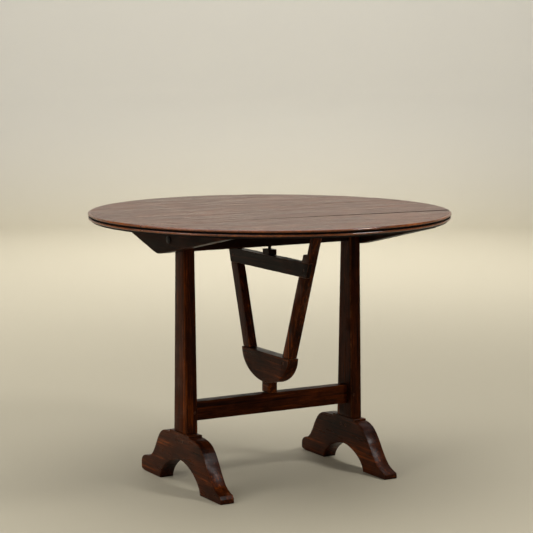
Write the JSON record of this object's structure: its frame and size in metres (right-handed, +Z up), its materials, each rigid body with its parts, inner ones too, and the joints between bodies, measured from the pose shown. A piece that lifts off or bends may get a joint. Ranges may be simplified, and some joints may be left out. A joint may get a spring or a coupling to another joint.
{
  "type": "tilt top table",
  "caption": "Round tilt-top table: board top with a double-beaded rim on a plank-post trestle with arched sledge feet, held level by a swinging harp gate.",
  "frame": {"origin": "on the floor, under the middle of the top", "axes": "+Z up; +X along the stretcher from the left post to the right post; -Y is the near side"},
  "size_m": [0.9896, 0.9896, 0.737],
  "materials": {
    "top_wood": "old waxed fruitwood boards, satin",
    "leg_wood": "dark red-brown polished hardwood, worn arrises",
    "harp_wood": "dark red-brown polished hardwood",
    "peg_wood": "dark end grain pegs, cut flush",
    "iron": "blackened wrought iron"
  },
  "bodies": {
    "frame": {"top_board_near": "top_wood", "top_board_mid": "top_wood", "top_board_far": "top_wood", "batten_left": "leg_wood", "batten_right": "leg_wood", "post_left": "leg_wood", "post_right": "leg_wood", "foot_left": "leg_wood", "foot_right": "leg_wood", "stretcher": "leg_wood", "top_rail": "leg_wood", "batten_screw_left_1": "iron", "batten_screw_left_2": "iron", "batten_screw_left_3": "iron", "batten_screw_right_1": "iron", "batten_screw_right_2": "iron", "batten_screw_right_3": "iron", "tilt_pin_left": "iron", "tilt_pin_right": "iron", "foot_peg_left_near": "peg_wood", "foot_peg_left_far": "peg_wood", "foot_peg_right_near": "peg_wood", "foot_peg_right_far": "peg_wood", "stretcher_peg_left": "peg_wood", "stretcher_peg_right": "peg_wood", "rail_peg_left": "peg_wood", "rail_peg_right": "peg_wood"},
    "harp": {"harp_block": "harp_wood", "harp_arm_near": "harp_wood", "harp_arm_far": "harp_wood", "harp_crossbar": "harp_wood", "harp_upper_block": "harp_wood", "harp_lower_block": "harp_wood", "harp_upper_pin": "iron", "harp_lower_pin": "iron", "harp_arm_peg_near": "peg_wood", "harp_arm_peg_far": "peg_wood", "harp_bar_peg_near": "peg_wood", "harp_bar_peg_far": "peg_wood"}
  },
  "joints": [
    {"name": "harp_swing", "type": "hinge", "parent": "frame", "child": "harp", "pos_m": [0, 0, 0.233], "axis": [0, 0, 1], "range_deg": [-80, 80]}
  ]
}
